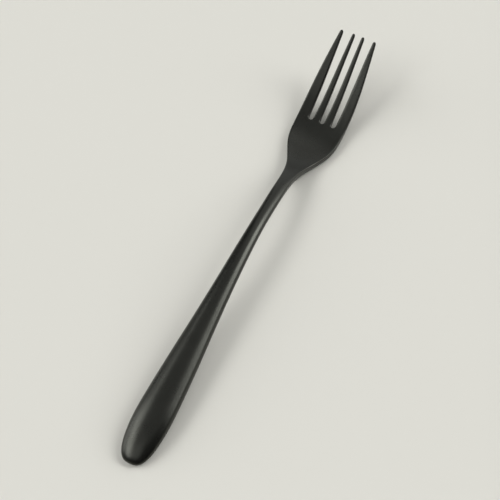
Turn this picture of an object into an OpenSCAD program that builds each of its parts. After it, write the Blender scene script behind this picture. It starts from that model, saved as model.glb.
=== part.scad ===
// Four-tine dinner fork with a hollow drop-shaped handle.
// The fork lies on a table: +X points along it to the tine tips, +Z points up,
// and the origin is under the middle of its length. All sizes are in millimetres.

/* [Overall] */
// Length from the end of the handle to the tine tips
overall_length = 210; // [190:1:230]
// Height of the neck's crown above the line between the handle and the bowl
neck_rise = 10.9; // [8:0.1:14]
// Height of the tine tips above the bottom of the bowl
tip_rise = 21.2; // [14:0.2:25]

/* [Handle] */
// Greatest width of the handle
handle_w = 15.2; // [12:0.1:19]
// Greatest thickness of the handle
handle_t = 8.4; // [7:0.2:11]
// Length over which the handle's end is rounded, seen from above
end_round_w = 24; // [16:0.5:30]
// Length over which the handle's end is rounded, seen from the side
end_round_t = 26; // [16:0.5:30]
// Bluntness of the handle's end, seen from above: 2 is an ellipse
end_power_w = 2.8; // [2:0.05:3.5]
// Bluntness of the handle's end, seen from the side
end_power_t = 2.2; // [2:0.05:3]
// Length of the hollow handle, up to its joint with the forged head
handle_length = 98; // [85:1:110]
// Wall of the pressed handle shells
shell_t = 0.8; // [0.6:0.1:1.2]

/* [Neck] */
// Width of the neck at its narrowest
neck_w = 5.6; // [4.8:0.1:8]
// Thickness of the neck there
neck_t = 4.6; // [4:0.1:6]

/* [Head] */
// Greatest width across the head
head_w = 22.5; // [20:0.1:27]
// Thickness of the palm behind the slots
palm_t = 2.7; // [2.2:0.1:3.4]
// Sag of the palm's centre below its edges
bowl_dish = 0.8; // [0.2:0.1:1.4]
// Rounding of the head's edges
edge_r = 0.6; // [0.3:0.05:0.8]

/* [Tines] */
// Depth of the slots between the tines
tine_length = 37.2; // [30:0.1:42]
// Width of a slot at its round root
slot_w = 2; // [1.5:0.1:2.4]
// Distance from the centre slot to an outer slot, at their roots
root_pitch = 5.3; // [5:0.1:6]
// The same distance at the tips
tip_pitch = 4.95; // [4.6:0.05:5.4]
// Gap between an outer and an inner tine at the tips
outer_gap_w = 4.1; // [3.6:0.1:4.8]
// Gap between the two inner tines at the tips
centre_gap_w = 3; // [2.6:0.05:3.6]
// Thickness of the tines just before their points
tip_t = 1.3; // [1:0.1:1.8]
// Length of the rounded point of each tine
point_length = 1; // [0.8:0.1:3]
// Distance by which the outer tines end short of the inner ones
outer_setback = 0.3; // [0:0.1:1]

/* [Tang] */
// Length of the register that centres the head in the handle's mouth
spigot_length = 4; // [2:0.5:6]
// Length of the tang, measured from the joint
tang_length = 34; // [20:1:50]
// Width of the tang where it leaves the register
tang_w = 3; // [2.2:0.1:3.2]
// Thickness of the tang there
tang_t = 2; // [1.4:0.1:2.2]

/* [Hidden] */

steel_color = "#2b2c2b";
cement_color = "#b9b4a8";

// Gap round the register and the filler, inside the shells
seat_gap = 0.05;
// Gap between the tang and its pocket in the filler
tang_gap = 0.15;
// Free space past the tang's end
pocket_end_gap = 1;
// Size of the tang's end over its size at the register
tang_end_share = 0.7;

// Places along the fork as shares of its length, and the palm's over the head's width
neck_end_share = 0.619;
head_start_share = 0.524;
bowl_share = 0.762;
round_share = 0.545;
flat_share = 0.72;
palm_share = 0.72;
// The same places, from the end of the handle
neck_end = overall_length * neck_end_share;
head_start = overall_length * head_start_share;
bowl_at = overall_length * bowl_share;
round_until = overall_length * round_share;
flat_from = overall_length * flat_share;
slot_r = slot_w / 2;
slot_at = overall_length - tine_length + slot_r;
palm_start = slot_at - head_w * palm_share;
tang_end = handle_length - tang_length;
spigot_start = handle_length - spigot_length;
// Sides of the centre line that the slots lie on, counted from the +Y side
slot_sides = [1, 0, -1];
// Places of the surface points across the top of a tine
tine_column_shares = [0, 0.5, 1];
// Most that an edge's rounding may take of a thin point's half width or thickness
thin_edge_share = 0.7;

// Shares along the handle, at equal steps from its end to neck_end:
// how far its width and its thickness stand above the neck's
swell_w_shares = [1.07, 1.025, 1.045, 0.955, 0.838, 0.696, 0.537, 0.4, 0.275, 0.18, 0.095, 0.035, 0, 0];
swell_t_shares = [0.98, 1, 1, 0.99, 0.89, 0.76, 0.62, 0.5, 0.375, 0.265, 0.165, 0.08, 0.01, 0];
// Height of the arch, at equal steps from the handle's end to bowl_at
arch_shares = [-0.07, 0.114, 0.235, 0.315, 0.413, 0.516, 0.621, 0.735, 0.834, 0.927, 0.985, 1.003,
    0.896, 0.775, 0.497, 0.055, 0];
// Shares along the head, at equal steps from head_start to the tips:
// its flare to the full width, its thinning, the tips' rise and the palm's dish
flare_shares = [0, 0.01, 0.005, -0.01, 0.26, 0.96, 1, 1, 0.945, 0.815, 0.665];
palm_thin_shares = [0, 0, 0.1, 0.33, 0.7, 0.96, 1, 1, 1, 1, 1];
tip_thin_shares = [0, 0, 0, 0, 0, 0, 0.02, 0.15, 0.36, 0.64, 1];
tip_rise_shares = [0, 0, 0, 0, 0, 0, 0.03, 0.175, 0.42, 0.72, 1];
dish_shares = [0, 0, 0, 0.2, 0.7, 1, 1, 0.9, 0.7, 0.5, 0.4];
// Widening of the slots, at equal steps from their roots to the tips
outer_slot_shares = [0, 0.26, 0.34, 0.55, 0.72, 1];
centre_slot_shares = [0, 0.4, 0.53, 0.72, 0.8, 1];

// Fineness of the surfaces: spacing along the fork, and angles round the handle and the slots' roots
ring_spacing = 3.8;
palm_spacing = 2.7;
point_spacing = 0.35;
ring_angle = 11.25;
web_angle = 45;
// How much closer the handle's rings stand at its round end
handle_ring_power = 1.8;
handle_rings = round(handle_length / ring_spacing);
half_ring = round(180 / ring_angle);
stem_rings = round((spigot_start - tang_end) / ring_spacing);
neck_rings = round((palm_start - handle_length) / ring_spacing);
palm_rows = round((slot_at - palm_start) / palm_spacing);
web_steps = round(180 / web_angle);
tine_rings = round((overall_length - point_length - slot_at) / ring_spacing);
point_rings = round(point_length / point_spacing);
stations = tine_rings + point_rings;
// Step at which the fork's slope and its lowest points are measured
probe_step = overall_length / 400;

// Value at share u of a smooth curve through equally spaced control values
function smooth_curve(v, u) =
    let (
        last = len(v) - 1,
        s = max(0, min(last, u * last)),
        i = min(last - 1, floor(s)),
        f = s - i,
        before = i > 0 ? v[i - 1] : 2 * v[0] - v[1],
        after = i < last - 1 ? v[i + 2] : 2 * v[last] - v[last - 1]
    )
    (pow(1 - f, 3) * before + (3 * pow(f, 3) - 6 * f * f + 4) * v[i]
        + (1 + 3 * f + 3 * f * f - 3 * pow(f, 3)) * v[i + 1] + pow(f, 3) * after) / 6;

function on_handle(shares, x) = smooth_curve(shares, x / neck_end);
function on_head(shares, x) = smooth_curve(shares, (x - head_start) / (overall_length - head_start));
function ease(u) = let (c = max(0, min(1, u))) c * c * (3 - 2 * c);

// Round end of the handle: 0 at x = inset, 1 from x = r on
function end_cap(x, r, power, inset) =
    x >= r ? 1 : pow(max(0, 1 - pow((r - x) / (r - inset), power)), 1 / power);

// Half width and half thickness of the fork at x, drawn in by inset all round
function half_w(x, inset = 0) =
    (neck_w / 2 + (handle_w - neck_w) / 2 * on_handle(swell_w_shares, x)
        + (head_w - neck_w) / 2 * on_head(flare_shares, x) - inset)
    * end_cap(x, end_round_w, end_power_w, inset);
function half_t(x, inset = 0) =
    (neck_t / 2 + (handle_t - neck_t) / 2 * on_handle(swell_t_shares, x)
        - (neck_t - palm_t) / 2 * on_head(palm_thin_shares, x)
        - (palm_t - tip_t) / 2 * on_head(tip_thin_shares, x) - inset)
    * end_cap(x, end_round_t, end_power_t, inset);

function steps(from, to, n) = [for (k = [0:n]) from + (to - from) * k / n];

// Rise of the fork's edges along it
function rise(x) =
    neck_rise * smooth_curve(arch_shares, x / bowl_at) + tip_rise * on_head(tip_rise_shares, x);
// Half thickness measured straight up, where the edges slope
function upright_half_t(x, inset = 0) =
    let (slope = (rise(x + probe_step) - rise(x - probe_step)) / (2 * probe_step))
    half_t(x, inset) * sqrt(1 + slope * slope);
// How far the palm sags at x, y
function sag(x, y) = bowl_dish * on_head(dish_shares, x) * (1 - pow(y / max(half_w(x), edge_r), 2));
// Lowest points under the handle and under the bowl, which both come to rest at height 0
handle_sole = min([for (x = [0:probe_step:neck_end]) rise(x) - upright_half_t(x)]);
bowl_sole = min([
    for (x = [neck_end:probe_step:overall_length]) rise(x) - sag(x, 0) - upright_half_t(x)]);
// Place of the lowest point under the handle
rest_at = [
    for (x = [0:probe_step:neck_end]) if (rise(x) - upright_half_t(x) == handle_sole) x][0];
function rest_drop(x) =
    handle_sole + (bowl_sole - handle_sole) * (x - rest_at) / (bowl_at - rest_at);
// Height of the fork's edges, and of the middle of the metal at x, y
function spine(x) = rise(x) - rest_drop(x);
function mid_h(x, y) = spine(x) - sag(x, y);

// Share of the flat, sharp-edged section of the head: 0 on the round handle
function flatness(x) = ease((x - round_until) / (flat_from - round_until));

// Edges of tine t, counted from the +Y side. A web is the end wall of a slot.
webs = len(slot_sides);
tines = webs + 1;
function tine_share(x) = (x - slot_at) / (overall_length - slot_at);
function slot_centre(x) = root_pitch + (tip_pitch - root_pitch) * tine_share(x);
function slot_half(x, gap_w, shares) =
    slot_r + (gap_w / 2 - slot_r) * smooth_curve(shares, tine_share(x));
function outer_slot_half(x) = slot_half(x, outer_gap_w, outer_slot_shares);
function centre_slot_half(x) = slot_half(x, centre_gap_w, centre_slot_shares);
function tine_edges(t, x) =
    t == 0 ? [half_w(x), slot_centre(x) + outer_slot_half(x)]
    : t == 1 ? [slot_centre(x) - outer_slot_half(x), centre_slot_half(x)]
    : let (mirrored = tine_edges(webs - t, x)) [-mirrored[1], -mirrored[0]];
function web_centre(w) = root_pitch * slot_sides[w];

// Rounded edge of the head's plate: distance out from the flat, and height
function edge_profile(e, h) = [
    [e * sin(45), h - e + e * cos(45)], [e, h - e], [e, e - h], [e * sin(45), e - h - e * cos(45)]];
wall_points = len(edge_profile(edge_r, palm_t / 2));

// Columns of the palm, from +Y to -Y: those on each tine, and those round each slot's root.
// Each is [x at the slots, share of the flat half width].
tine_columns = len(tine_column_shares);
web_columns = web_steps - 1;
root_flat = half_w(slot_at) - edge_r;
function tine_column(t, j) =
    let (edges = tine_edges(t, slot_at), y0 = edges[0] - edge_r, y1 = edges[1] + edge_r)
    [slot_at, (y0 + (y1 - y0) * tine_column_shares[j]) / root_flat];
function web_column(w, j) =
    let (
        a = 90 - 180 * j / web_steps,
        x = slot_at - (slot_r + edge_r) * cos(a),
        y = web_centre(w) + (slot_r + edge_r) * sin(a)
    )
    [x, y / (half_w(x) - edge_r)];
columns = [
    for (t = [0:tines - 1]) each concat(
        [for (j = [0:tine_columns - 1]) tine_column(t, j)],
        t < webs ? [for (j = [1:web_columns]) web_column(t, j)] : [])];
column_count = len(columns);
ring_count = 2 * (column_count + wall_points);
column_step = tine_columns + web_columns;

// The ring's points run over the top, down the -Y wall, under the bottom and up the +Y wall
function ring_side(i) =
    i < column_count ? 0
    : i < column_count + wall_points ? 1
    : i < 2 * column_count + wall_points ? 2 : 3;
function ring_place(i) =
    let (side = ring_side(i))
    side == 0 ? i
    : side == 1 ? i - column_count
    : side == 2 ? 2 * column_count + wall_points - 1 - i
    : 2 * (column_count + wall_points) - 1 - i;

// Angles that the ring's points have on the round sections
wall_angles = [22, 8, -8, -22];
top_angle = 35;
function round_angle(i) =
    let (
        side = ring_side(i),
        k = ring_place(i),
        a = top_angle + (180 - 2 * top_angle) * k / (column_count - 1)
    )
    side == 0 ? a : side == 2 ? -a : side == 3 ? wall_angles[k] : 180 - wall_angles[k];

// Point i of a section: half width w, half thickness h, edge radius e, flatness b
function section_point(i, w, h, e, b) =
    let (
        side = ring_side(i),
        k = ring_place(i),
        wall = edge_profile(e, h)[min(k, wall_points - 1)],
        hand = side == 3 ? 1 : -1,
        flat_y = side % 2 == 0 ? columns[k][1] * (w - e) : hand * (w - e + wall[0]),
        flat_z = side == 0 ? h : side == 2 ? -h : wall[1],
        a = round_angle(i)
    )
    [w * cos(a) * (1 - b) + flat_y * b, h * sin(a) * (1 - b) + flat_z * b];

function skin_point(i, x) =
    let (p = section_point(i, half_w(x), upright_half_t(x), edge_r, flatness(x)))
    [x, p[0], mid_h(x, p[0]) + p[1]];
function front_x(i) = ring_side(i) % 2 == 0 ? columns[ring_place(i)][0] : slot_at;

// Point at angle a on an oval section of the stem, and on the handle's skin or inside it
function oval_point(x, a, w, t) = [x, w * cos(a), spine(x) + t * sin(a)];
function bore_point(x, a, inset) = oval_point(x, a, half_w(x, inset), upright_half_t(x, inset));
function tang_taper(x) = 1 - (1 - tang_end_share) * (spigot_start - x) / (spigot_start - tang_end);

// Triangles of a strip between two rows of point numbers
function strip(a, b) = [
    for (i = [0:len(a) - 2]) each [[a[i], b[i], a[i + 1]], [a[i + 1], b[i], b[i + 1]]]];
function closed(a) = concat(a, [a[0]]);
function fan(a, pole) = [for (i = [0:len(a) - 1]) [a[i], pole, a[(i + 1) % len(a)]]];
function flipped(faces) = [for (f = faces) [f[2], f[1], f[0]]];

// The forged head: tang, register, neck, palm and four tines, in one piece
stem_points = [
    for (x = steps(tang_end, spigot_start, stem_rings)) for (i = [0:ring_count - 1])
        oval_point(x, round_angle(i), tang_w / 2 * tang_taper(x), tang_t / 2 * tang_taper(x)),
    for (x = [spigot_start, handle_length]) for (i = [0:ring_count - 1])
        bore_point(x, round_angle(i), shell_t + seat_gap)];
neck_points = [
    for (x = steps(handle_length, palm_start, neck_rings)) for (i = [0:ring_count - 1]) skin_point(i, x)];
palm_points = [
    for (k = [1:palm_rows]) for (i = [0:ring_count - 1])
        skin_point(i, palm_start + (front_x(i) - palm_start) * k / palm_rows)];
body_rings = (stem_rings + 1) + 2 + (neck_rings + 1) + palm_rows;
front = (body_rings - 1) * ring_count;

// Walls of the slots' round roots
web_points = [
    for (w = [0:webs - 1]) for (j = [0:web_steps]) for (p = edge_profile(edge_r, upright_half_t(slot_at)))
        let (
            a = 90 - 180 * j / web_steps,
            r = slot_r + edge_r - p[0],
            x = slot_at - r * cos(a),
            y = web_centre(w) + r * sin(a)
        )
        [x, y, mid_h(x, y) + p[1]]];
web_base = body_rings * ring_count;
function web_wall(w, j) = [
    for (p = [0:wall_points - 1]) web_base + (w * (web_steps + 1) + j) * wall_points + p];

// Tines: rings of points from the root to a rounded point
function tine_end(t) = overall_length - (t == 0 || t == webs ? outer_setback : 0);
function tine_stations(t) =
    let (shoulder = tine_end(t) - point_length)
    concat(
        steps(slot_at, shoulder, tine_rings),
        [for (k = [1:point_rings]) shoulder + point_length * sin(90 * k / (point_rings + 1))]);
tine_ring_count = 2 * (tine_columns + wall_points);
function point_cap(t, x) =
    let (u = max(0, (x - tine_end(t) + point_length) / point_length)) sqrt(max(0, 1 - u * u));
function tine_ring(t, x) =
    let (
        edges = tine_edges(t, x),
        centre = (edges[0] + edges[1]) / 2,
        w = (edges[0] - edges[1]) / 2 * point_cap(t, x),
        h = upright_half_t(x) * point_cap(t, x),
        e = min(edge_r, thin_edge_share * w, thin_edge_share * h),
        wall = edge_profile(e, h),
        across = [for (share = tine_column_shares) (w - e) * (1 - 2 * share)],
        outline = concat(
            [for (y = across) [y, h]],
            [for (p = wall) [e - w - p[0], p[1]]],
            [for (y = across) [-y, -h]],
            [for (k = [wall_points - 1:-1:0]) [w - e + wall[k][0], wall[k][1]]])
    )
    [for (p = outline) [x, centre + p[0], mid_h(x, centre + p[0]) + p[1]]];
tine_points = [
    for (t = [0:tines - 1]) for (s = [1:stations]) each tine_ring(t, tine_stations(t)[s])];
tine_base = web_base + len(web_points);
function tine_row(t, s) = [
    for (i = [0:tine_ring_count - 1]) tine_base + (t * stations + s) * tine_ring_count + i];
point_poles = [
    for (t = [0:tines - 1])
        let (x = tine_end(t), edges = tine_edges(t, x), y = (edges[0] + edges[1]) / 2)
        [x, y, mid_h(x, y)]];
pole_base = tine_base + len(tine_points);

// A tine's root ring is made of the palm's front columns and the walls beside it
function top_column(t, j) = front + t * column_step + j;
function bottom_column(t, j) = front + 2 * column_count + wall_points - 1 - t * column_step - j;
function root_row(t) = concat(
    [for (j = [0:tine_columns - 1]) top_column(t, j)],
    t < webs ? web_wall(t, 0) : [for (k = [0:wall_points - 1]) front + column_count + k],
    [for (j = [tine_columns - 1:-1:0]) bottom_column(t, j)],
    t > 0
        ? [for (k = [wall_points - 1:-1:0]) web_wall(t - 1, web_steps)[k]]
        : [for (k = [0:wall_points - 1]) front + 2 * column_count + wall_points + k]);
function web_row(w, j) =
    let (c = tine_columns - 1 + j)
    concat([top_column(w, c)], web_wall(w, j), [bottom_column(w, c)]);

function body_row(r) = [for (i = [0:ring_count - 1]) r * ring_count + i];
head_faces = concat(
    [[for (i = [0:ring_count - 1]) i]],
    [for (r = [0:body_rings - 2]) each strip(closed(body_row(r)), closed(body_row(r + 1)))],
    [for (w = [0:webs - 1]) for (j = [0:web_steps - 1])
        each flipped(strip(web_row(w, j), web_row(w, j + 1)))],
    [for (t = [0:tines - 1]) for (s = [0:stations - 1])
        each strip(closed(s == 0 ? root_row(t) : tine_row(t, s - 1)), closed(tine_row(t, s)))],
    [for (t = [0:tines - 1]) each fan(tine_row(t, stations - 1), pole_base + t)]);

// Place of ring k of the handle, from its round end to its mouth. Ring 0 is a single point.
function handle_x(k, end_x, mouth_x) =
    end_x + (mouth_x - end_x) * pow(k / handle_rings, handle_ring_power);
function shell_point(k, a, inset) = bore_point(handle_x(k, inset, handle_length), a, inset);

// One pressed half of the handle: an outer and an inner skin from angle a0 to a0 + 180
module handle_shell(a0) {
    side_count = half_ring + 1;
    loop_count = 2 * side_count;
    points = [
        shell_point(0, 0, 0), shell_point(0, 0, shell_t),
        for (k = [1:handle_rings]) each concat(
            [for (i = [0:half_ring]) shell_point(k, a0 + 180 * i / half_ring, 0)],
            [for (i = [half_ring:-1:0]) shell_point(k, a0 + 180 * i / half_ring, shell_t)])];
    function row(k) = [
        for (i = [0:loop_count - 1]) k > 0 ? 2 + (k - 1) * loop_count + i : i < side_count ? 0 : 1];
    sides = [for (k = [0:handle_rings - 1]) each strip(closed(row(k)), closed(row(k + 1)))];
    mouth = strip(
        [for (i = [0:half_ring]) row(handle_rings)[i]],
        [for (i = [0:half_ring]) row(handle_rings)[loop_count - 1 - i]]);
    polyhedron(
        points = points,
        faces = concat([for (f = sides) if (f[0] != f[1] && f[1] != f[2] && f[2] != f[0]) f], mouth),
        convexity = 6);
}

// Cement that fills the shells and grips the tang
module handle_filler() {
    inset = shell_t + seat_gap;
    around = 2 * half_ring;
    mouth_x = spigot_start - seat_gap;
    pocket_x = tang_end - pocket_end_gap;
    skin = [
        for (k = [1:handle_rings]) for (i = [0:around - 1])
            bore_point(handle_x(k, inset, mouth_x), 360 * i / around, inset)];
    pocket = [
        for (x = steps(mouth_x, pocket_x, stem_rings)) for (i = [0:around - 1])
            let (w = tang_w / 2 * tang_taper(x) + tang_gap, t = tang_t / 2 * tang_taper(x) + tang_gap)
            oval_point(x, 360 * i / around, w, t)];
    end_pole = [inset, 0, spine(inset)];
    pocket_pole = [pocket_x, 0, spine(pocket_x)];
    function row(k) = [for (i = [0:around - 1]) (k - 1) * around + i];
    color(cement_color) polyhedron(
        points = concat(skin, pocket, [end_pole, pocket_pole]),
        faces = concat(
            flipped(fan(row(1), len(skin) + len(pocket))),
            [for (k = [1:handle_rings + stem_rings]) each strip(closed(row(k)), closed(row(k + 1)))],
            fan(row(handle_rings + stem_rings + 1), len(skin) + len(pocket) + 1)),
        convexity = 6);
}

module handle_upper_shell() {
    color(steel_color) handle_shell(0);
}

module handle_lower_shell() {
    color(steel_color) handle_shell(180);
}

module fork_head() {
    color(steel_color) polyhedron(
        points = concat(stem_points, neck_points, palm_points, web_points, tine_points, point_poles),
        faces = head_faces,
        convexity = 8);
}

module in_place() {
    translate([-overall_length / 2, 0, 0]) children();
}

in_place() fork_head();
in_place() handle_upper_shell();
in_place() handle_lower_shell();
in_place() handle_filler();
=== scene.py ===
import functools
import math

import bmesh
import bpy
from mathutils import Matrix, Vector


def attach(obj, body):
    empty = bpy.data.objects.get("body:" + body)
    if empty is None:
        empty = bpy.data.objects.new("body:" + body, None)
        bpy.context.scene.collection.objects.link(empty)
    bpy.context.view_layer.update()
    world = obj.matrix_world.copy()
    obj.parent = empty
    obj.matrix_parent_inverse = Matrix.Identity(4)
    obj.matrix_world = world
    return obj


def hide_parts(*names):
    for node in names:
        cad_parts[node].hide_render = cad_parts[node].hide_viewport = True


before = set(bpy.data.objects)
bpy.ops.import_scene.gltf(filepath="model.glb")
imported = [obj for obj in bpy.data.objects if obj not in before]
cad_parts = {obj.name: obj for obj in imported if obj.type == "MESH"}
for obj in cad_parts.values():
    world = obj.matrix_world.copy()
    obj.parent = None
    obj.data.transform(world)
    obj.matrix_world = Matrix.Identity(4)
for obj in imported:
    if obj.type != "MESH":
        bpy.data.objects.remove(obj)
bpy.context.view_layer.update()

# All shapes are worked out in millimetres from the end of the handle, and placed in metres
# with the middle of the fork's length over the origin.
millimetre = 0.001
zenith = Vector((0, 0, 1))

# Each list of numbers below is a smooth curve's control values, evenly spaced over its stretch:
# 0 for none of the change that its name tells of, 1 for all of it.

# The fork's course along the table, and what its handle and head share
forkCourse = {
    "length": 210.0,
    "neckRise": 10.9,  # the neck's crown over the line between its two rests
    "tipRise": 21.2,
    "neckWidth": 5.6,
    "neckThickness": 4.6,
    "neckEnd": 0.619,  # places as shares of the length
    "headStart": 0.524,
    "bowlPlace": 0.762,
    "roundUntil": 0.545,
    "flatFrom": 0.72,
    "probes": 400,  # steps by which the course's slope and its lowest spots are found
    "arch": [-0.07, 0.114, 0.235, 0.315, 0.413, 0.516, 0.621, 0.735, 0.834, 0.927, 0.985, 1.003,
             0.896, 0.775, 0.497, 0.055, 0],
}

handleShape = {
    "length": 98.0,
    "width": 15.2,
    "thickness": 8.4,
    "endRoundSeenFromAbove": 24.0,  # how far the end's rounding reaches
    "endRoundSeenFromSide": 26.0,
    "bluntnessSeenFromAbove": 2.8,  # 2 is an ellipse
    "bluntnessSeenFromSide": 2.2,
    "wall": 0.8,
    "swellWidth": [1.07, 1.025, 1.045, 0.955, 0.838, 0.696, 0.537, 0.4, 0.275, 0.18, 0.095, 0.035,
                   0, 0],
    "swellThickness": [0.98, 1, 1, 0.99, 0.89, 0.76, 0.62, 0.5, 0.375, 0.265, 0.165, 0.08, 0.01, 0],
    "rings": 84,
    "ringCrowding": 1.8,  # how much closer the rings stand at the round end
    "stepsHalfRound": 48,
    "ringNudge": 0.01,  # how far apart, in rings and degrees, the surface's slope is read
    "angleNudge": 1.0,
}

headShape = {
    "width": 22.5,
    "palmThickness": 2.7,
    "dish": 0.8,  # how far the palm's middle lies below its edges
    "palmPerWidth": 0.72,  # the palm's length behind the slots, over the head's width
    "edgeRound": 0.6,
    "flare": [0, 0.01, 0.005, -0.01, 0.26, 0.96, 1, 1, 0.945, 0.815, 0.665],
    "palmThinning": [0, 0, 0.1, 0.33, 0.7, 0.96, 1, 1, 1, 1, 1],
    "dishing": [0, 0, 0, 0.2, 0.7, 1, 1, 0.9, 0.7, 0.5, 0.4],
    "ringSpacing": 1.3,
    "edgeSteps": 4,  # facets of each quarter-round edge
    "sideAngle": 35.0,  # half the angle that an edge takes up on the round neck
}

tineShape = {
    "length": 37.2,  # the slots' depth
    "slotRootWidth": 2.0,
    "rootPitch": 5.3,  # from the middle slot to the outer ones
    "tipPitch": 4.95,
    "outerGap": 4.1,  # between the tines' points
    "centreGap": 3.0,
    "tipThickness": 1.3,
    "pointLength": 1.0,
    "outerSetback": 0.3,  # the outer tines end a little short of the inner ones
    "thinning": [0, 0, 0, 0, 0, 0, 0.02, 0.15, 0.36, 0.64, 1],
    "rise": [0, 0, 0, 0, 0, 0, 0.03, 0.175, 0.42, 0.72, 1],
    "outerWidening": [0, 0.26, 0.34, 0.55, 0.72, 1],
    "centreWidening": [0, 0.4, 0.53, 0.72, 0.8, 1],
    "slotSides": [1, 0, -1],  # the slots' places across the head
    "columns": 7,  # points across the top of a tine
    "rootSteps": 12,  # facets round a slot's root
    "pointRings": 9,
    "thinEdgeShare": 0.7,  # the most that edges round, over half a thin tine's size
}

neckEnd = forkCourse["length"] * forkCourse["neckEnd"]
headStart = forkCourse["length"] * forkCourse["headStart"]
bowlPlace = forkCourse["length"] * forkCourse["bowlPlace"]
roundUntil = forkCourse["length"] * forkCourse["roundUntil"]
flatFrom = forkCourse["length"] * forkCourse["flatFrom"]
probeStep = forkCourse["length"] / forkCourse["probes"]


def smoothCurve(values, share):  # follows evenly spaced control values
    last = len(values) - 1
    place = max(0, min(last, share * last))
    i = min(last - 1, int(place))
    f = place - i
    before = values[i - 1] if i > 0 else 2 * values[0] - values[1]
    after = values[i + 2] if i < last - 1 else 2 * values[last] - values[last - 1]
    near = (3 * f ** 3 - 6 * f * f + 4) * values[i]
    far = (1 + 3 * f + 3 * f * f - 3 * f ** 3) * values[i + 1]
    return ((1 - f) ** 3 * before + near + far + f ** 3 * after) / 6


def onHandle(values, x):
    return smoothCurve(values, x / neckEnd)


def onHead(values, x):
    return smoothCurve(values, (x - headStart) / (forkCourse["length"] - headStart))


def ease(share):  # from 0 to 1, gently at both ends
    held = max(0, min(1, share))
    return held * held * (3 - 2 * held)


def endCap(x, radius, power, inset):  # 0 at the handle's very end, 1 past its rounding
    if x >= radius:
        return 1
    return max(0, 1 - ((radius - x) / (radius - inset)) ** power) ** (1 / power)


@functools.lru_cache(maxsize=None)
def halfWidth(x, inset=0):
    neck = forkCourse["neckWidth"]
    swell = (handleShape["width"] - neck) / 2 * onHandle(handleShape["swellWidth"], x)
    flare = (headShape["width"] - neck) / 2 * onHead(headShape["flare"], x)
    radius, power = handleShape["endRoundSeenFromAbove"], handleShape["bluntnessSeenFromAbove"]
    return (neck / 2 + swell + flare - inset) * endCap(x, radius, power, inset)


@functools.lru_cache(maxsize=None)
def halfThickness(x, inset=0):
    neck = forkCourse["neckThickness"]
    palm = headShape["palmThickness"]
    swell = (handleShape["thickness"] - neck) / 2 * onHandle(handleShape["swellThickness"], x)
    palmLoss = (neck - palm) / 2 * onHead(headShape["palmThinning"], x)
    tineLoss = (palm - tineShape["tipThickness"]) / 2 * onHead(tineShape["thinning"], x)
    body = neck / 2 + swell - palmLoss - tineLoss - inset
    radius, power = handleShape["endRoundSeenFromSide"], handleShape["bluntnessSeenFromSide"]
    return body * endCap(x, radius, power, inset)


@functools.lru_cache(maxsize=None)
def courseRise(x):
    arch = forkCourse["neckRise"] * smoothCurve(forkCourse["arch"], x / bowlPlace)
    return arch + forkCourse["tipRise"] * onHead(tineShape["rise"], x)


@functools.lru_cache(maxsize=None)
def uprightHalf(x, inset=0):  # half thickness measured straight up, where the course slopes
    slope = (courseRise(x + probeStep) - courseRise(x - probeStep)) / (2 * probeStep)
    return halfThickness(x, inset) * math.sqrt(1 + slope * slope)


def palmSag(x, y):
    across = y / max(halfWidth(x), headShape["edgeRound"])
    return headShape["dish"] * onHead(headShape["dishing"], x) * (1 - across * across)


def steps(first, last, count):
    return [first + (last - first) * k / count for k in range(count + 1)]


def lowestSpot(first, last):  # the underside's lowest height, and its place
    places = [first + probeStep * k for k in range(int((last - first) / probeStep) + 1)]
    return min((courseRise(x) - palmSag(x, 0) - uprightHalf(x), x) for x in places)


handleSole, handleRest = lowestSpot(0, neckEnd)
bowlSole = lowestSpot(neckEnd, forkCourse["length"])[0]


@functools.lru_cache(maxsize=None)
def spineHeight(x):  # both rests come down to the table
    drop = handleSole + (bowlSole - handleSole) * (x - handleRest) / (bowlPlace - handleRest)
    return courseRise(x) - drop


def middleHeight(x, y):
    return spineHeight(x) - palmSag(x, y)


def placed(x, y, z):
    return Vector(((x - forkCourse["length"] / 2), y, z)) * millimetre


def makePiece(name, points, faces, material):
    bm = bmesh.new()
    corners = [bm.verts.new(point) for point in points]
    for face in faces:
        bm.faces.new([corners[i] for i in face]).smooth = True
    mesh = bpy.data.meshes.new(name)
    bm.to_mesh(mesh)
    bm.free()
    mesh.materials.append(material)
    piece = bpy.data.objects.new(name, mesh)
    bpy.context.scene.collection.objects.link(piece)
    return piece


def strip(near, far):  # faces between two rows of point numbers
    return [(near[i], near[i + 1], far[i + 1], far[i]) for i in range(len(near) - 1)]


def closedStrip(near, far):
    return strip(near + near[:1], far + far[:1])


def turned(faces):
    return [tuple(reversed(face)) for face in faces]


# A wire is a socket that can stand in a sum
class Wire:
    def __init__(self, board, socket):
        self.board = board
        self.socket = socket

    def withOther(self, operation, first, second):
        return self.board.node("ShaderNodeMath", {"operation": operation}, {0: first, 1: second})

    def __add__(self, other):
        return self.withOther("ADD", self, other)

    def __radd__(self, other):
        return self.withOther("ADD", other, self)

    def __sub__(self, other):
        return self.withOther("SUBTRACT", self, other)

    def __rsub__(self, other):
        return self.withOther("SUBTRACT", other, self)

    def __mul__(self, other):
        return self.withOther("MULTIPLY", self, other)

    def __rmul__(self, other):
        return self.withOther("MULTIPLY", other, self)


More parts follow.
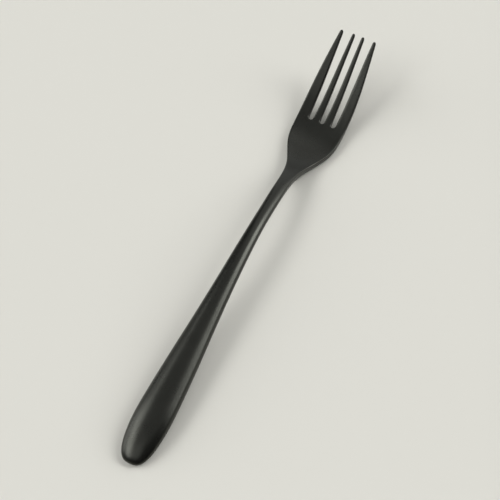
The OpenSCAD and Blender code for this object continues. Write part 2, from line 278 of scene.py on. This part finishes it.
class Board:  # the node tree of one material, or of the world
    def __init__(self, owner):
        owner.use_nodes = True
        self.tree = owner.node_tree
        self.tree.nodes.clear()

    def node(self, kind, settings=None, sockets=None, output=0):
        made = self.tree.nodes.new(kind)
        for name, value in (settings or {}).items():
            setattr(made, name, value)
        for name, value in (sockets or {}).items():
            if isinstance(value, Wire):
                self.tree.links.new(value.socket, made.inputs[name])
            else:
                made.inputs[name].default_value = value
        return Wire(self, made.outputs[output]) if made.outputs else None

    def noise(self, place, scale, detail, roughness):
        values = {"Vector": place, "Scale": scale, "Detail": detail, "Roughness": roughness}
        return self.node("ShaderNodeTexNoise", {}, values)

    def ramp(self, value, low, high):  # 0 below low, 1 above high
        limits = {"Value": value, "From Min": low, "From Max": high}
        return self.node("ShaderNodeMapRange", {"interpolation_type": "SMOOTHSTEP"}, limits)

    def blend(self, share, first, second):  # the colour sockets of a Mix node are its 6 and 7
        ends = [end if isinstance(end, Wire) else (*end, 1) for end in (first, second)]
        sockets = {0: share, 6: ends[0], 7: ends[1]}
        return self.node("ShaderNodeMix", {"data_type": "RGBA"}, sockets, 2)

    def relief(self, height):
        return self.node("ShaderNodeBump", {}, {"Height": height, "Strength": 1.0, "Distance": 1.0})


# Noise scales are waves to the metre, depths and heights are metres
coatingLook = {
    "colour": (0.0046, 0.0048, 0.0042),
    "paleColour": (0.0062, 0.0064, 0.0056),
    "rubbedColour": (0.011, 0.0112, 0.0102),
    "glossTint": (0.98, 1.0, 0.88),
    "ior": 1.53,
    "roughness": 0.28,
    "mottle": {"scale": 260.0, "detail": 3.0, "roughness": 0.6},
    "mottleRange": (0.3, 0.7),
    "mottleSpread": 0.04,  # how far the roughness varies with it
    "smears": {"scale": 45.0, "detail": 3.0, "roughness": 0.55},
    "smearSpread": 0.1,
    "grain": {"scale": 5200.0, "detail": 2.0, "roughness": 0.6},
    "grainDepth": 0.0000016,
    "peel": {"scale": 700.0, "detail": 1.0, "roughness": 0.5},
    "peelDepth": 0.000003,
    "rubbedPoints": (0.096, 0.106),  # use burnishes the tines' points
    "rubbedSoles": (0.0001, 0.0009),  # and the spots that slide on the table
    "rubbedRange": (0.35, 0.65),
    "rubbedGloss": 0.07,  # how much less rough they are
}


def coatedSteel():
    look = coatingLook
    material = bpy.data.materials.new("matteBlackCoating")
    board = Board(material)
    place = board.node("ShaderNodeTexCoord", output="Object")
    along = board.node("ShaderNodeSeparateXYZ", {}, {"Vector": place}, "X")
    height = board.node("ShaderNodeSeparateXYZ", {}, {"Vector": place}, "Z")
    mottle = board.noise(place, **look["mottle"])
    smears = board.noise(place, **look["smears"])
    grain = board.noise(place, **look["grain"])
    peel = board.noise(place, **look["peel"])
    points = board.ramp(along, *look["rubbedPoints"])
    soles = 1 - board.ramp(height, *look["rubbedSoles"])
    rubbed = (points + soles) * board.ramp(mottle, *look["rubbedRange"])
    patches = board.ramp(mottle, *look["mottleRange"])
    colour = board.blend(patches, look["colour"], look["paleColour"])
    colour = board.blend(rubbed, colour, look["rubbedColour"])
    unevenness = (smears - 0.5) * look["smearSpread"] + (mottle - 0.5) * look["mottleSpread"]
    roughness = look["roughness"] + unevenness - rubbed * look["rubbedGloss"]
    relief = board.relief(grain * look["grainDepth"] + peel * look["peelDepth"])
    skin = board.node("ShaderNodeBsdfPrincipled", {}, {
        "Base Color": colour, "Roughness": roughness, "Normal": relief,
        "IOR": look["ior"], "Specular Tint": (*look["glossTint"], 1)})
    board.node("ShaderNodeOutputMaterial", {}, {"Surface": skin})
    return material


cementLook = {
    "colour": (0.44, 0.42, 0.37),
    "paleColour": (0.53, 0.51, 0.45),
    "roughness": 0.85,
    "clouds": {"scale": 220.0, "detail": 4.0, "roughness": 0.6},
    "cloudRange": (0.3, 0.7),
    "grain": {"scale": 1600.0, "detail": 4.0, "roughness": 0.7},
    "grainDepth": 0.00006,
    "grainGloss": 0.1,
}


def castCement():
    look = cementLook
    material = bpy.data.materials.new("castCement")
    board = Board(material)
    place = board.node("ShaderNodeTexCoord", output="Object")
    clouds = board.noise(place, **look["clouds"])
    grain = board.noise(place, **look["grain"])
    patches = board.ramp(clouds, *look["cloudRange"])
    colour = board.blend(patches, look["colour"], look["paleColour"])
    skin = board.node("ShaderNodeBsdfPrincipled", {}, {
        "Base Color": colour, "Roughness": look["roughness"] - grain * look["grainGloss"],
        "Normal": board.relief(grain * look["grainDepth"])})
    board.node("ShaderNodeOutputMaterial", {}, {"Surface": skin})
    return material


coating = coatedSteel()
cement = castCement()
print("finishes made: matte coating, cast cement")


# The handle is two pressed halves, which meet without a step
def ovalPoint(x, angle, width, thickness):
    turn = math.radians(angle)
    return placed(x, width * math.cos(turn), spineHeight(x) + thickness * math.sin(turn))


def handlePoint(ring, angle, inset):
    share = ring / handleShape["rings"]
    x = inset + (handleShape["length"] - inset) * share ** handleShape["ringCrowding"]
    return ovalPoint(x, angle, halfWidth(x, inset), uprightHalf(x, inset))


def handleNormal(ring, angle, inset):  # pointing away from the handle's middle
    if ring == 0:
        return Vector((-1, 0, 0))
    ringNudge, angleNudge = handleShape["ringNudge"], handleShape["angleNudge"]
    ahead = handlePoint(min(ring + ringNudge, handleShape["rings"]), angle, inset)
    along = ahead - handlePoint(ring - ringNudge, angle, inset)
    above = handlePoint(ring, angle + angleNudge, inset)
    around = above - handlePoint(ring, angle - angleNudge, inset)
    return around.cross(along).normalized()


def handleHalf(name, firstAngle, material):
    rings = handleShape["rings"]
    half = handleShape["stepsHalfRound"]
    wall = handleShape["wall"]
    angles = [firstAngle + 180 * i / half for i in range(half + 1)]
    points = [handlePoint(0, 0, 0), handlePoint(0, 0, wall)]
    shine = [handleNormal(0, 0, 0), -handleNormal(0, 0, wall)]
    # a ring runs over the outside and back along the inside
    for ring in range(1, rings + 1):
        for inset, facing, order in ((0, 1, angles), (wall, -1, angles[::-1])):
            for angle in order:
                points.append(handlePoint(ring, angle, inset))
                shine.append(facing * handleNormal(ring, angle, inset))
    loopLength = 2 * (half + 1)

    def row(ring):
        if ring == 0:
            return [0] * (half + 1) + [1] * (half + 1)
        return [2 + (ring - 1) * loopLength + i for i in range(loopLength)]

    faces, curved = [], []
    for ring in range(rings):
        near, far = row(ring), row(ring + 1)
        for i, face in enumerate(closedStrip(near, far)):
            corners = list(dict.fromkeys(face))  # at the very end a ring is one point
            faces.append(corners)
            curved.append(i not in (half, loopLength - 1))  # the two seams are flat
    mouthOut = row(rings)[:half + 1]
    mouthIn = row(rings)[half + 1:][::-1]
    for face in strip(mouthOut, mouthIn):
        faces.append(list(face))
        curved.append(False)
    piece = makePiece(name, points, faces, material)
    mesh = piece.data
    normals = []
    for face, isCurved in zip(mesh.polygons, curved):
        for corner in face.vertices:
            normals.append(shine[corner] if isCurved else face.normal)
    mesh.normals_split_custom_set([tuple(normal) for normal in normals])
    return piece


upperHalf = handleHalf("handle_upper_half", 0, coating)
lowerHalf = handleHalf("handle_lower_half", 180, coating)
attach(upperHalf, "root")
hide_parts("handle_upper_shell")
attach(lowerHalf, "root")
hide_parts("handle_lower_shell")
print("handle made: two halves of", len(upperHalf.data.polygons), "faces each")


# The forged head is one closed skin: tang, register, neck, palm and tines
tangShape = {
    "registerLength": 4.0,  # the part of the head that fills the handle's mouth
    "length": 34.0,
    "width": 3.0,
    "thickness": 2.0,
    "endShare": 0.7,  # the size of the tang's end, over that of its root
    "seatGap": 0.05,  # between the register and the handle's wall
    "rings": 6,
    "crispRings": 4,  # from the tang's root to the neck's first ring
}

registerStart = handleShape["length"] - tangShape["registerLength"]
tangEnd = handleShape["length"] - tangShape["length"]
slotRadius = tineShape["slotRootWidth"] / 2
slotRoot = forkCourse["length"] - tineShape["length"] + slotRadius
palmStart = slotRoot - headShape["width"] * headShape["palmPerWidth"]
slotCount = len(tineShape["slotSides"])
tineCount = slotCount + 1
edgeRound = headShape["edgeRound"]
rootReach = slotRadius + edgeRound


def tineShare(x):
    return (x - slotRoot) / (forkCourse["length"] - slotRoot)


def slotCentre(x):
    return tineShape["rootPitch"] + (tineShape["tipPitch"] - tineShape["rootPitch"]) * tineShare(x)


def slotHalf(x, gap, widening):
    return slotRadius + (gap / 2 - slotRadius) * smoothCurve(widening, tineShare(x))


@functools.lru_cache(maxsize=None)
def tineEdges(tine, x):  # the tine's +Y edge and its -Y edge
    outer = slotHalf(x, tineShape["outerGap"], tineShape["outerWidening"])
    centre = slotHalf(x, tineShape["centreGap"], tineShape["centreWidening"])
    if tine == 0:
        return halfWidth(x), slotCentre(x) + outer
    if tine == 1:
        return slotCentre(x) - outer, centre
    left, right = tineEdges(slotCount - tine, x)
    return -right, -left


def edgeProfile(edge, half):  # down a rounded wall: distance out of the flat, and height
    count = headShape["edgeSteps"]
    arc = [math.radians(90 - 90 * (k + 1) / count) for k in range(count)]
    upper = [(edge * math.cos(a), half - edge + edge * math.sin(a)) for a in arc]
    return upper + [(out, -height) for out, height in reversed(upper)]


wallPoints = 2 * headShape["edgeSteps"]


def rootPlace(slot, j, reach):  # a place round the slot's root, from its +Y side to its -Y side
    a = math.radians(90 - 180 * j / tineShape["rootSteps"])
    centre = tineShape["rootPitch"] * tineShape["slotSides"][slot]
    return slotRoot - reach * math.cos(a), centre + reach * math.sin(a)


def palmColumns():  # where each column of the palm meets the slots, and its share of the width
    found = []
    flat = halfWidth(slotRoot) - edgeRound
    for tine in range(tineCount):
        left, right = tineEdges(tine, slotRoot)
        for y in steps(left - edgeRound, right + edgeRound, tineShape["columns"] - 1):
            found.append((slotRoot, y / flat))
        if tine < slotCount:
            for j in range(1, tineShape["rootSteps"]):
                x, y = rootPlace(tine, j, rootReach)
                found.append((x, y / (halfWidth(x) - edgeRound)))
    return found


columns = palmColumns()
columnCount = len(columns)
columnStep = tineShape["columns"] + tineShape["rootSteps"] - 1
# A ring runs over the top, down the -Y wall, back under the bottom and up the +Y wall
ringSeats = [("top", k) for k in range(columnCount)]
ringSeats += [("right", k) for k in range(wallPoints)]
ringSeats += [("bottom", k) for k in reversed(range(columnCount))]
ringSeats += [("left", k) for k in reversed(range(wallPoints))]
ringLength = len(ringSeats)


def roundTurn(side, k):  # the seat's angle on the round neck
    if side in ("top", "bottom"):
        a = math.acos(columns[k][1] * math.cos(math.radians(headShape["sideAngle"])))
        return a if side == "top" else -a
    a = math.radians(headShape["sideAngle"] * (1 - 2 * (k + 1) / (wallPoints + 1)))
    return a if side == "left" else math.pi - a


seatTurns = [roundTurn(side, k) for side, k in ringSeats]


def headPoint(seat, x):
    side, k = ringSeats[seat]
    width, half = halfWidth(x), uprightHalf(x)
    flatness = ease((x - roundUntil) / (flatFrom - roundUntil))
    if side in ("top", "bottom"):
        flatY = columns[k][1] * (width - edgeRound)
        flatZ = half if side == "top" else -half
    else:
        out, height = edgeProfile(edgeRound, half)[k]
        flatY = (width - edgeRound + out) * (1 if side == "left" else -1)
        flatZ = height
    y = width * math.cos(seatTurns[seat]) * (1 - flatness) + flatY * flatness
    z = half * math.sin(seatTurns[seat]) * (1 - flatness) + flatZ * flatness
    return placed(x, y, middleHeight(x, y) + z)


def tangTaper(x):
    return 1 - (1 - tangShape["endShare"]) * (registerStart - x) / (registerStart - tangEnd)


def tineEnd(tine):
    setback = tineShape["outerSetback"] if tine in (0, slotCount) else 0
    return forkCourse["length"] - setback


def pointCap(tine, x):
    u = max(0, (x - tineEnd(tine) + tineShape["pointLength"]) / tineShape["pointLength"])
    return math.sqrt(max(0, 1 - u * u))


def tineRing(tine, x):
    left, right = tineEdges(tine, x)
    centre = (left + right) / 2
    cap = pointCap(tine, x)
    width = (left - right) / 2 * cap
    half = uprightHalf(x) * cap
    edge = min(edgeRound, tineShape["thinEdgeShare"] * width, tineShape["thinEdgeShare"] * half)
    wall = edgeProfile(edge, half)
    across = steps(width - edge, edge - width, tineShape["columns"] - 1)
    outline = [(y, half) for y in across]
    outline += [(edge - width - out, height) for out, height in wall]
    outline += [(-y, -half) for y in across]
    outline += [(width - edge + out, height) for out, height in reversed(wall)]
    return [placed(x, centre + y, middleHeight(x, centre + y) + z) for y, z in outline]


def forgedHead(name, material):
    points, faces = [], []
    spacing = headShape["ringSpacing"]
    # tang, register, neck and palm, ring by ring
    for x in steps(tangEnd, registerStart, tangShape["rings"]):
        size = tangTaper(x) / 2
        for turn in seatTurns:
            width, thickness = tangShape["width"] * size, tangShape["thickness"] * size
            points.append(ovalPoint(x, math.degrees(turn), width, thickness))
    inset = handleShape["wall"] + tangShape["seatGap"]
    for x in (registerStart, handleShape["length"]):
        width, thickness = halfWidth(x, inset), uprightHalf(x, inset)
        for turn in seatTurns:
            points.append(ovalPoint(x, math.degrees(turn), width, thickness))
    neckRings = round((palmStart - handleShape["length"]) / spacing)
    for x in steps(handleShape["length"], palmStart, neckRings):
        points += [headPoint(seat, x) for seat in range(ringLength)]
    palmRings = round((slotRoot - palmStart) / spacing)
    for ring in range(1, palmRings + 1):
        for seat, (side, k) in enumerate(ringSeats):
            front = columns[k][0] if side in ("top", "bottom") else slotRoot
            points.append(headPoint(seat, palmStart + (front - palmStart) * ring / palmRings))
    rings = len(points) // ringLength
    rowsOfBody = [list(range(r * ringLength, (r + 1) * ringLength)) for r in range(rings)]
    faces += turned([rowsOfBody[0]])
    for near, far in zip(rowsOfBody, rowsOfBody[1:]):
        faces += closedStrip(near, far)
    # round roots of the slots
    rootWall = {}
    for slot in range(slotCount):
        for j in range(tineShape["rootSteps"] + 1):
            rootWall[slot, j] = []
            for out, height in edgeProfile(edgeRound, uprightHalf(slotRoot)):
                x, y = rootPlace(slot, j, rootReach - out)
                rootWall[slot, j].append(len(points))
                points.append(placed(x, y, middleHeight(x, y) + height))
    front = rowsOfBody[-1]

    def topColumn(tine, j):
        return front[tine * columnStep + j]

    def bottomColumn(tine, j):
        return front[2 * columnCount + wallPoints - 1 - tine * columnStep - j]

    for slot in range(slotCount):
        rows = []
        for j in range(tineShape["rootSteps"] + 1):
            k = tineShape["columns"] - 1 + j
            rows.append([topColumn(slot, k)] + rootWall[slot, j] + [bottomColumn(slot, k)])
        for near, far in zip(rows, rows[1:]):
            faces += turned(strip(near, far))
    # tines, from the palm's front to their points
    columnRange = range(tineShape["columns"])
    for tine in range(tineCount):
        shoulder = tineEnd(tine) - tineShape["pointLength"]
        stations = steps(slotRoot, shoulder, round((shoulder - slotRoot) / spacing))[1:]
        for k in range(1, tineShape["pointRings"] + 1):
            share = math.sin(math.radians(90 * k / (tineShape["pointRings"] + 1)))
            stations.append(shoulder + tineShape["pointLength"] * share)
        row = [topColumn(tine, j) for j in columnRange]
        if tine < slotCount:
            row += rootWall[tine, 0]
        else:
            row += front[columnCount:columnCount + wallPoints]
        row += [bottomColumn(tine, j) for j in reversed(columnRange)]
        if tine > 0:
            row += rootWall[tine - 1, tineShape["rootSteps"]][::-1]
        else:
            row += front[2 * columnCount + wallPoints:]
        for x in stations:
            first = len(points)
            points += tineRing(tine, x)
            following = list(range(first, len(points)))
            faces += closedStrip(row, following)
            row = following
        left, right = tineEdges(tine, tineEnd(tine))
        y = (left + right) / 2
        points.append(placed(tineEnd(tine), y, middleHeight(tineEnd(tine), y)))
        for i in range(len(row)):
            faces.append((row[i], row[(i + 1) % len(row)], len(points) - 1))
    piece = makePiece(name, points, faces, material)
    # the tang's end, the register and the joint with the handle keep crisp edges
    crisp = set()
    for r in (0, *range(tangShape["rings"], tangShape["rings"] + tangShape["crispRings"])):
        row = rowsOfBody[r]
        crisp.update(frozenset(pair) for pair in zip(row, row[1:] + row[:1]))
    for edge in piece.data.edges:
        edge.use_edge_sharp = frozenset(edge.vertices) in crisp
    return piece


head = forgedHead("forged_head", coating)
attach(head, "root")
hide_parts("fork_head")
print("head made:", len(head.data.polygons), "faces")

# The cement inside the handle keeps its solid and gets its own finish
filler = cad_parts["handle_filler"]
filler.data.materials.clear()
filler.data.materials.append(cement)
print("filler finished with cast cement")


tableLook = {
    "reach": 6.0,
    "squares": 8,  # the sheet's faces along a side
    "colour": (0.716, 0.708, 0.651),
    "paleColour": (0.722, 0.714, 0.659),
    "clouds": {"scale": 9.0, "detail": 2.0, "roughness": 0.5},
    "roughness": 0.9,
}


def paleTable():
    look = tableLook
    bm = bmesh.new()
    squares = look["squares"]
    bmesh.ops.create_grid(bm, x_segments=squares, y_segments=squares, size=look["reach"])
    mesh = bpy.data.meshes.new("pale_table")
    bm.to_mesh(mesh)
    bm.free()
    material = bpy.data.materials.new("paleTabletop")
    board = Board(material)
    place = board.node("ShaderNodeTexCoord", output="Object")
    clouds = board.noise(place, **look["clouds"])
    colour = board.blend(clouds, look["colour"], look["paleColour"])
    skin = board.node("ShaderNodeBsdfPrincipled", {}, {
        "Base Color": colour, "Roughness": look["roughness"], "Specular IOR Level": 0.0})
    board.node("ShaderNodeOutputMaterial", {}, {"Surface": skin})
    mesh.materials.append(material)
    table = bpy.data.objects.new("pale_table", mesh)
    bpy.context.scene.collection.objects.link(table)


paleTable()


# Soft lamps, named for where they stand as seen along the fork from its handle
studioLamps = {
    "window_right": {"azimuth": -50.0, "elevation": 44.0, "spread": 24.0, "level": 0.174},
    "window_right_low": {"azimuth": -60.0, "elevation": 26.0, "spread": 24.0, "level": 0.086},
    "wall_right": {"azimuth": -40.0, "elevation": 22.0, "spread": 70.0, "level": 0.079},
    "window_left": {"azimuth": 140.0, "elevation": 40.0, "spread": 24.0, "level": 0.1},
    "window_left_mid": {"azimuth": 120.0, "elevation": 46.0, "spread": 24.0, "level": 0.109},
    "window_left_far": {"azimuth": 90.0, "elevation": 46.0, "spread": 24.0, "level": 0.093},
    "wall_left": {"azimuth": 100.0, "elevation": 22.0, "spread": 44.0, "level": 0.103},
    "wall_ahead": {"azimuth": 0.0, "elevation": 24.0, "spread": 84.0, "level": 0.106},
    "ceiling": {"azimuth": 0.0, "elevation": 84.0, "spread": 60.0, "level": 0.079},
    "window_behind": {"azimuth": 175.0, "elevation": 56.0, "spread": 30.0, "level": 0.05},
}
roomLight = 0.02
lampDistance = 2.0


def studioLight():
    for name, lamp in studioLamps.items():
        sun = bpy.data.lights.new(name, "SUN")
        lift = math.radians(lamp["elevation"])
        # a lamp's level is its share of the table's light
        sun.energy = lamp["level"] * math.pi / math.sin(lift)
        sun.angle = math.radians(lamp["spread"])
        stand = bpy.data.objects.new(name, sun)
        around = math.radians(lamp["azimuth"])
        level = Vector((math.cos(around), math.sin(around), 0))
        towards = level * math.cos(lift) + zenith * math.sin(lift)
        stand.rotation_euler = towards.to_track_quat("Z", "Y").to_euler()
        stand.location = towards * lampDistance
        bpy.context.scene.collection.objects.link(stand)
    world = bpy.data.worlds.new("quietRoom")
    bpy.context.scene.world = world
    board = Board(world)
    room = board.node("ShaderNodeBackground", {}, {"Color": (1, 1, 1, 1), "Strength": roomLight})
    board.node("ShaderNodeOutputWorld", {}, {"Surface": room})


studioLight()
bpy.context.scene.view_settings.view_transform = "Standard"


# The camera stands where the photographer stood, over the handle's end
photoCamera = {
    "aim": (-0.000608, 0.000748, 0.0),
    "distance": 0.53576,
    "elevation": 60.762,
    "heading": 27.124,
    "roll": -0.779,
    "fieldOfView": 22.0,
    "sensorWidth": 36.0,  # in millimetres, as Blender counts it
    "nearestSeen": 0.01,
}


def standCamera():
    look = photoCamera
    lift, heading, roll = (math.radians(look[k]) for k in ("elevation", "heading", "roll"))
    ahead = Vector((math.cos(heading), math.sin(heading), 0))
    right = Vector((math.sin(heading), -math.cos(heading), 0))
    back = zenith * math.sin(lift) - ahead * math.cos(lift)
    up = ahead * math.sin(lift) + zenith * math.cos(lift)
    rolledRight = right * math.cos(roll) + up * math.sin(roll)
    rolledUp = up * math.cos(roll) - right * math.sin(roll)
    data = bpy.data.cameras.new("overHandle")
    data.sensor_width = look["sensorWidth"]
    data.lens = data.sensor_width / 2 / math.tan(math.radians(look["fieldOfView"] / 2))
    data.clip_start = look["nearestSeen"]
    camera = bpy.data.objects.new("overHandle", data)
    turn = Matrix((rolledRight, rolledUp, back)).transposed().to_4x4()
    camera.matrix_world = Matrix.Translation(Vector(look["aim"]) + back * look["distance"]) @ turn
    bpy.context.scene.collection.objects.link(camera)
    bpy.context.scene.camera = camera


standCamera()
print("table, lamps and camera set")
